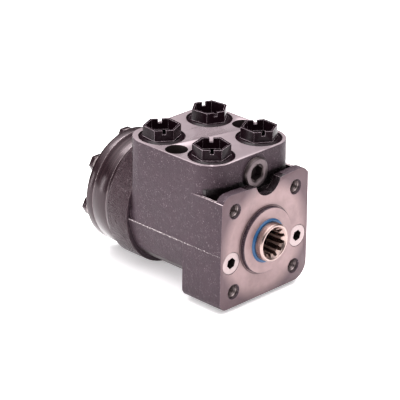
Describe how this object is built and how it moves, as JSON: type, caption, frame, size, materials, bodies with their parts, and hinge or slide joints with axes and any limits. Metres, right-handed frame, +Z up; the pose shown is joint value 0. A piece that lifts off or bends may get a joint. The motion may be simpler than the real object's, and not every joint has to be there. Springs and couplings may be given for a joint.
{
  "type": "orbital steering unit",
  "caption": "Hydrostatic steering unit: a splined spool and sleeve valve drives a metering gear set, with check, relief and shock valves in a port block on a square flange.",
  "frame": {"origin": "centre of the mounting flange's face, on the axis of the splined socket", "axes": "+Y from the flange face to the end cover, +Z up through the hose ports, +X right seen from the flange"},
  "size_m": [0.0874, 0.1449, 0.1103],
  "materials": {
    "cast_iron_dark": "dark phosphated casting, fine grain, semi-matt",
    "stack_black": "glossy blackened steel",
    "ground_steel": "ground and honed steel",
    "zinc_steel": "bright zinc-plated steel",
    "plug_steel": "dull grey steel",
    "spring_steel": "polished spring steel",
    "blue_seal": "satin blue seal material",
    "black_rubber": "matt black rubber",
    "plug_plastic": "glossy black moulded plastic"
  },
  "bodies": {
    "housing_body": {"housing": "cast_iron_dark", "dust_seal": "blue_seal", "shaft_seal": "black_rubber", "outer_bearing_race": "ground_steel", "distributor_plate": "stack_black", "gear_ring": "stack_black", "end_cover": "stack_black", "housing_seal_ring": "black_rubber", "plate_seal_ring": "black_rubber", "cover_seal_ring": "black_rubber", "cover_screws": "stack_black", "rolled_pin_screw": "stack_black", "screw_washers": "plug_steel", "rolled_pin": "spring_steel", "suction_pins": "spring_steel", "check_bush": "plug_steel", "relief_plug": "plug_steel", "relief_plug_washer": "plug_steel", "relief_adjuster": "plug_steel", "relief_seat": "plug_steel", "relief_spring": "spring_steel", "shock_plugs": "zinc_steel", "shock_plug_seals": "black_rubber", "shock_seats": "plug_steel", "shock_spring_left": "spring_steel", "shock_spring_right": "spring_steel", "port_plug_front_left": "plug_plastic", "port_plug_front_right": "plug_plastic", "port_plug_rear_left": "plug_plastic", "port_plug_rear_right": "plug_plastic"},
    "sleeve_body": {"sleeve": "ground_steel", "inner_bearing_race": "ground_steel", "spring_ring": "spring_steel", "cross_pin": "ground_steel", "flat_centring_springs": "spring_steel", "arched_centring_springs": "spring_steel"},
    "spool_body": {"spool": "ground_steel"},
    "cage_body": {"thrust_cage": "ground_steel", "thrust_needles": "ground_steel"},
    "orbit_body": {"cardan_spacer": "plug_steel"},
    "rotor_body": {"rotor": "ground_steel"},
    "cardan_body": {"cardan_shaft": "plug_steel"},
    "relief_poppet_body": {"relief_poppet": "ground_steel"},
    "check_ball_body": {"check_ball": "ground_steel"},
    "emergency_ball_body": {"emergency_ball": "ground_steel"},
    "shock_ball_left_body": {"shock_ball_left": "ground_steel"},
    "shock_ball_right_body": {"shock_ball_right": "ground_steel"},
    "suction_ball_left_body": {"suction_ball_left": "ground_steel"},
    "suction_ball_right_body": {"suction_ball_right": "ground_steel"}
  },
  "joints": [
    {"name": "sleeve_spin", "type": "hinge", "parent": "housing_body", "child": "sleeve_body", "pos_m": [0, 0.05, 0], "axis": [0, 1, 0], "continuous": true},
    {"name": "spool_offset", "type": "hinge", "parent": "sleeve_body", "child": "spool_body", "pos_m": [0, 0.05, 0], "axis": [0, 1, 0], "range_deg": [-8, 8], "stiffness_Nm_per_rad": 12, "deforming": ["flat_centring_springs", "arched_centring_springs"]},
    {"name": "cage_spin", "type": "hinge", "parent": "housing_body", "child": "cage_body", "pos_m": [0, 0.0105, 0], "axis": [0, 1, 0], "continuous": true},
    {"name": "rotor_orbit", "type": "hinge", "parent": "housing_body", "child": "orbit_body", "pos_m": [0, 0.117, 0], "axis": [0, 1, 0], "continuous": true},
    {"name": "rotor_spin", "type": "hinge", "parent": "orbit_body", "child": "rotor_body", "pos_m": [0, 0.117, 0.003], "axis": [0, 1, 0], "continuous": true},
    {"name": "cardan_spin", "type": "hinge", "parent": "orbit_body", "child": "cardan_body", "pos_m": [0, 0.034, 0], "axis": [0, 0.9993, 0.0361], "continuous": true},
    {"name": "relief_poppet_lift", "type": "slide", "parent": "housing_body", "child": "relief_poppet_body", "axis": [0, -1, 0], "range_m": [0, 0.0015], "stiffness_N_per_m": 20000, "deforming": ["relief_spring"]},
    {"name": "check_ball_lift", "type": "slide", "parent": "housing_body", "child": "check_ball_body", "axis": [0, 0, 1], "range_m": [0, 0.0015]},
    {"name": "emergency_ball_lift", "type": "slide", "parent": "housing_body", "child": "emergency_ball_body", "axis": [0, 1, 0], "range_m": [0, 0.0015]},
    {"name": "shock_ball_left_lift", "type": "slide", "parent": "housing_body", "child": "shock_ball_left_body", "axis": [0, -1, 0], "range_m": [0, 0.0015], "stiffness_N_per_m": 15000, "deforming": ["shock_spring_left"]},
    {"name": "shock_ball_right_lift", "type": "slide", "parent": "housing_body", "child": "shock_ball_right_body", "axis": [0, -1, 0], "range_m": [0, 0.0015], "stiffness_N_per_m": 15000, "deforming": ["shock_spring_right"]},
    {"name": "suction_ball_left_lift", "type": "slide", "parent": "housing_body", "child": "suction_ball_left_body", "axis": [0, 1, 0], "range_m": [0, 0.0015]},
    {"name": "suction_ball_right_lift", "type": "slide", "parent": "housing_body", "child": "suction_ball_right_body", "axis": [0, 1, 0], "range_m": [0, 0.0015]}
  ],
  "couplings": [
    {"joint": "cage_spin", "follows": "sleeve_spin", "ratio": 0.5},
    {"joint": "rotor_orbit", "follows": "sleeve_spin", "ratio": -6},
    {"joint": "rotor_spin", "follows": "sleeve_spin", "ratio": 7},
    {"joint": "cardan_spin", "follows": "sleeve_spin", "ratio": 7}
  ]
}
